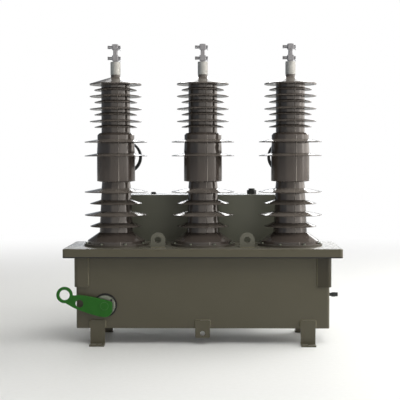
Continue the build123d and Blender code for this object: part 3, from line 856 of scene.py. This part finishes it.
class RECLOSER_OT_plate_screws(bpy.types.Operator):
    """Four pan-head screws in the bearing plate behind the trip handle"""

    bl_idname = "recloser.plate_screws"
    bl_label = "Bearing plate screws"

    def execute(self, context):
        sizes = context.scene.recloser_sizes
        low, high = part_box("dial_plate")
        centre = (low + high) / 2
        radius = sizes.plate_screw
        head = screw_head(radius, height=radius * 0.6, depth=radius * 0.3)
        screws = []
        for index in range(PLATE_SCREWS):
            angle = math.radians(PLATE_TURN + 360 / PLATE_SCREWS * index)
            x = centre.x + sizes.plate_circle * math.cos(angle)
            z = centre.z + sizes.plate_circle * math.sin(angle)
            screws.append(placed(head, (x, low.y, z), (1, 0, 0), (0, -1, 0)))
        make_piece(
            "bearing_plate_screws", joined(screws), MATERIALS["black_plastic"],
            "housing",
        )
        return {"FINISHED"}


# From the cover's edge to the screws' middle, and screws along its width and its height
COVER_INSET = 14 * MM
COVER_COLUMNS = 5
COVER_ROWS = 4


class RECLOSER_OT_cover_screws(bpy.types.Operator):
    """Hexagon screws round the rear cover of the control cabinet"""

    bl_idname = "recloser.cover_screws"
    bl_label = "Cover screws"

    def execute(self, context):
        across = context.scene.recloser_sizes.screw_across
        head = bolt_head(across, height=across * 0.4)
        low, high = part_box("cabinet_cover")
        xs = np.linspace(low.x + COVER_INSET, high.x - COVER_INSET, COVER_COLUMNS)
        zs = np.linspace(low.z + COVER_INSET, high.z - COVER_INSET, COVER_ROWS)
        spots = [(x, z) for x in xs for z in (zs[0], zs[-1])]
        spots += [(x, z) for x in (xs[0], xs[-1]) for z in zs[1:-1]]
        screws = [placed(head, (x, high.y, z), (1, 0, 0), (0, 1, 0)) for x, z in spots]
        make_piece(
            "cover_screws", joined(screws), MATERIALS["galvanised_steel"],
            "housing",
        )
        return {"FINISHED"}


# Stage: floor, surroundings, lamps and camera


class RECLOSER_OT_stage(bpy.types.Operator):
    """Pale floor, soft light and the camera at the photograph's angle"""

    bl_idname = "recloser.stage"
    bl_label = "Stage"

    def execute(self, context):
        make_floor()
        make_world()
        make_lights()
        make_camera()
        return {"FINISHED"}


WHITE = linear("ffffff")

# Size of the floor, both tints of its paint, and where it starts and ends its fade to white
FLOOR_SIZE = 60.0
FLOOR_DARK = "dcdcd8"
FLOOR_PALE = "e2e2df"
FADE_START = 1.2
FADE_END = 5.0


def make_floor():
    """A flat pale floor that fades to the white of the background far from the recloser."""
    half = FLOOR_SIZE / 2
    mesh = bpy.data.meshes.new("floor")
    mesh.from_pydata(
        [(-half, -half, 0), (half, -half, 0), (half, half, 0), (-half, half, 0)], [], [(0, 1, 2, 3)]
    )
    material, tree, place = new_material("pale_floor_paint")
    reach = add_node(tree, "ShaderNodeVectorMath", {0: place}, operation="LENGTH").outputs["Value"]
    far = add_node(
        tree,
        "ShaderNodeMapRange",
        {"Value": reach, "From Min": FADE_START, "From Max": FADE_END},
        interpolation_type="SMOOTHSTEP",
    ).outputs["Result"]
    camera_ray = add_node(tree, "ShaderNodeLightPath").outputs["Is Camera Ray"]
    share = add_node(
        tree, "ShaderNodeMath", {0: far, 1: camera_ray}, operation="MULTIPLY"
    ).outputs[0]
    # Fine mottle, about 17 mm across
    fine = add_node(tree, "ShaderNodeTexNoise", {"Vector": place, "Scale": 60.0}).outputs["Fac"]
    tint = add_node(
        tree,
        "ShaderNodeMix",
        {"Factor": fine, FIRST: linear(FLOOR_DARK), SECOND: linear(FLOOR_PALE)},
        data_type="RGBA",
    ).outputs[MIXED]
    paint = add_node(tree, "ShaderNodeBsdfPrincipled", {"Base Color": tint, "Roughness": 0.7})
    white = add_node(tree, "ShaderNodeEmission", {"Color": WHITE, "Strength": 1.0})
    blend = add_node(
        tree, "ShaderNodeMixShader", {0: share, 1: paint.outputs[0], 2: white.outputs[0]}
    )
    add_node(tree, "ShaderNodeOutputMaterial", {"Surface": blend.outputs[0]})
    mesh.materials.append(material)
    floor = bpy.data.objects.new("floor", mesh)
    bpy.context.scene.collection.objects.link(floor)


# Strength of the soft light at the far left and at the far right
AMBIENT_LEFT = 0.2
AMBIENT_RIGHT = 0.92

# What glossy faces mirror: its strength, and its glare at each height, where height is the Z
# of a direction of length 1
MIRROR_GLARE = 6.6
MIRROR_HEIGHTS = (
    (-1.0, 0.35),
    (0.0, 0.45),
    (0.05, 0.95),
    (0.09, 0.95),
    (0.14, 0.45),
    (0.3, 0.3),
    (0.7, 0.26),
)

# Its glare and tint at each side, in degrees from the front towards the right
WARM = "fff7ef"
COOL = "e6eef8"
MIRROR_SIDES = (
    (-180, 0.2, COOL),
    (-173, 0.17, COOL),
    (-168, 0.1, COOL),
    (-150, 0.05, COOL),
    (-75, 0.06, COOL),
    (-36, 0.09, COOL),
    (-25, 0.21, WARM),
    (10, 0.22, WARM),
    (32, 0.36, WARM),
    (74, 0.43, WARM),
    (77, 0.9, WARM),
    (85, 0.9, WARM),
    (92, 0.5, WARM),
    (145, 0.34, WARM),
    (157, 0.15, WARM),
    (180, 0.2, COOL),
)

# A bright panel behind, 13 to 28 degrees up, that glossy faces mirror as well: its strength,
# and for each edge the axis, the outer end and the inner end of its soft border
PANEL_GLARE = 8.0
PANEL_EDGES = (
    ("X", -0.158, -0.128),
    ("Y", 0.8, 0.97),
    ("Z", 0.22, 0.25),
    ("Z", 0.5, 0.44),
)


def fill_ramp(ramp, stops):
    """Gives a colour ramp its stops, each a position from 0 to 1 and a linear RGBA colour."""
    elements = ramp.color_ramp.elements
    while len(elements) < len(stops):
        elements.new(0.5)
    for element, (position, rgba) in zip(elements, stops):
        element.position = position
        element.color = rgba
    return ramp.outputs["Color"]


def mirrored_light(tree, part):
    """The light that comes from a direction for glossy faces, from its three parts: the glare
    at its side times the glare at its height, plus the panel where it lies inside all edges."""
    front = add_node(
        tree, "ShaderNodeMath", {0: part["Y"], 1: -1.0}, operation="MULTIPLY"
    ).outputs[0]
    turn = add_node(
        tree, "ShaderNodeMath", {0: part["X"], 1: front}, operation="ARCTAN2"
    ).outputs[0]
    side = add_node(
        tree, "ShaderNodeMapRange", {"Value": turn, "From Min": -math.pi, "From Max": math.pi}
    ).outputs["Result"]
    tinted = fill_ramp(
        add_node(tree, "ShaderNodeValToRGB", {"Fac": side}),
        [(angle / 360 + 0.5, shade(linear(tint), glare)) for angle, glare, tint in MIRROR_SIDES],
    )
    height = add_node(
        tree, "ShaderNodeMapRange", {"Value": part["Z"], "From Min": -1.0, "From Max": 1.0}
    ).outputs["Result"]
    column = fill_ramp(
        add_node(tree, "ShaderNodeValToRGB", {"Fac": height}),
        [(level / 2 + 0.5, shade(WHITE, glare)) for level, glare in MIRROR_HEIGHTS],
    )
    strength = add_node(
        tree, "ShaderNodeMath", {0: column, 1: MIRROR_GLARE}, operation="MULTIPLY"
    ).outputs[0]
    panel = PANEL_GLARE
    for axis, start, end in PANEL_EDGES:
        edge = add_node(
            tree, "ShaderNodeMapRange", {"Value": part[axis], "From Min": start, "From Max": end}
        ).outputs["Result"]
        panel = add_node(
            tree, "ShaderNodeMath", {0: edge, 1: panel}, operation="MULTIPLY"
        ).outputs[0]
    around = add_node(tree, "ShaderNodeBackground", {"Color": tinted, "Strength": strength})
    behind = add_node(tree, "ShaderNodeBackground", {"Color": WHITE, "Strength": panel})
    both = add_node(tree, "ShaderNodeAddShader", {0: around.outputs[0], 1: behind.outputs[0]})
    return both.outputs[0]


def make_world():
    """Soft light that grows from left to right, and for glossy faces one that is dark at the
    left, dim in front, bright at the right and brightest just above the horizon, with a panel
    behind. The camera sees plain white."""
    world = bpy.data.worlds.new("studio")
    bpy.context.scene.world = world
    world.use_nodes = True
    tree = world.node_tree
    tree.nodes.clear()
    direction = add_node(tree, "ShaderNodeTexCoord").outputs["Generated"]
    part = add_node(tree, "ShaderNodeSeparateXYZ", {"Vector": direction}).outputs
    path = add_node(tree, "ShaderNodeLightPath").outputs
    across = add_node(
        tree,
        "ShaderNodeMapRange",
        {
            "Value": part["X"],
            "From Min": -1.0,
            "From Max": 1.0,
            "To Min": AMBIENT_LEFT,
            "To Max": AMBIENT_RIGHT,
        },
    ).outputs["Result"]
    ambient = add_node(tree, "ShaderNodeBackground", {"Color": WHITE, "Strength": across})
    shown = add_node(tree, "ShaderNodeBackground", {"Color": WHITE, "Strength": 1.0})
    inner = add_node(
        tree,
        "ShaderNodeMixShader",
        {0: path["Is Glossy Ray"], 1: ambient.outputs[0], 2: mirrored_light(tree, part)},
    )
    outer = add_node(
        tree,
        "ShaderNodeMixShader",
        {0: path["Is Camera Ray"], 1: inner.outputs[0], 2: shown.outputs[0]},
    )
    add_node(tree, "ShaderNodeOutputWorld", {"Surface": outer.outputs[0]})


# Name, place, size in metres and power in watts of each lamp, and the point they all face
LAMPS = (
    ("key", (1.2, -2.7, 4.0), 2.2, 82.0),
    ("right", (3.3, 0.0, 1.3), 2.6, 120.0),
    ("behind", (3.0, 2.1, 2.4), 2.0, 60.0),
    ("left", (-3.2, 0.3, 0.9), 1.8, 8.0),
)
LAMP_AIM = (0, 0, 0.6)


def make_lights():
    """Large soft lamps: high in front, beside the poles at the right, high behind at the right,
    and a weak one at the left. Glossy faces mirror none of them."""
    for name, spot, size, power in LAMPS:
        lamp = bpy.data.lights.new(name, "AREA")
        lamp.size = size
        lamp.energy = power
        place = bpy.data.objects.new(name, lamp)
        place.location = spot
        place.visible_glossy = False
        towards = Vector(LAMP_AIM) - Vector(spot)
        place.rotation_euler = towards.to_track_quat("-Z", "Y").to_euler()
        bpy.context.scene.collection.objects.link(place)


# The photograph's camera, worked out from its lines: metres, degrees and millimetres
CAMERA_PLACE = (0.0682, -3.6365, 0.7077)
CAMERA_PITCH = 2.54
CAMERA_YAW = 1.259
CAMERA_ROLL = 0.112
LENS = 83.75
SENSOR_WIDTH = 36.0


def make_camera():
    """The photograph's viewpoint: standing off at the front, at the height of the poles."""
    data = bpy.data.cameras.new("camera")
    data.sensor_width = SENSOR_WIDTH
    data.lens = LENS
    camera = bpy.data.objects.new("camera", data)
    camera.location = CAMERA_PLACE
    tilt = Euler((math.radians(90 - CAMERA_PITCH), 0, math.radians(CAMERA_YAW)), "XYZ")
    roll = Euler((0, 0, math.radians(-CAMERA_ROLL)), "XYZ")
    camera.rotation_euler = (tilt.to_matrix() @ roll.to_matrix()).to_euler()
    bpy.context.scene.collection.objects.link(camera)
    bpy.context.scene.camera = camera


# In the order in which main() runs them
OPERATORS = (
    RECLOSER_OT_finishes,
    RECLOSER_OT_mould_seams,
    RECLOSER_OT_ring_bolts,
    RECLOSER_OT_welds,
    RECLOSER_OT_lid_shadow_line,
    RECLOSER_OT_plate_screws,
    RECLOSER_OT_cover_screws,
    RECLOSER_OT_stage,
)


class RECLOSER_PT_panel(bpy.types.Panel):
    """Lists the steps that dress the recloser"""

    bl_idname = "RECLOSER_PT_panel"
    bl_label = "Recloser"
    bl_space_type = "VIEW_3D"
    bl_region_type = "UI"
    bl_category = "Recloser"

    def draw(self, context):
        for operator in OPERATORS:
            self.layout.operator(operator.bl_idname)
        for group in (context.scene.recloser_sizes, context.scene.recloser_colours):
            for name in group.__annotations__:
                self.layout.prop(group, name)


CLASSES = (RecloserColours, RecloserSizes, *OPERATORS, RECLOSER_PT_panel)


def register():
    """Adds the classes, and the two groups of settings to the scene."""
    for cls in CLASSES:
        bpy.utils.register_class(cls)
    bpy.types.Scene.recloser_colours = bpy.props.PointerProperty(type=RecloserColours)
    bpy.types.Scene.recloser_sizes = bpy.props.PointerProperty(type=RecloserSizes)


def unregister():
    """Takes the settings and the classes away again."""
    del bpy.types.Scene.recloser_sizes
    del bpy.types.Scene.recloser_colours
    for cls in reversed(CLASSES):
        bpy.utils.unregister_class(cls)


def main():
    """Registers the add-on and runs its steps in order."""
    register()
    bpy.context.scene.view_settings.view_transform = "Standard"
    bpy.ops.recloser.finishes()
    bpy.ops.recloser.mould_seams()
    bpy.ops.recloser.ring_bolts()
    bpy.ops.recloser.welds()
    bpy.ops.recloser.lid_trim()
    bpy.ops.recloser.plate_screws()
    bpy.ops.recloser.cover_screws()
    bpy.ops.recloser.stage()


if __name__ == "__main__":
    main()
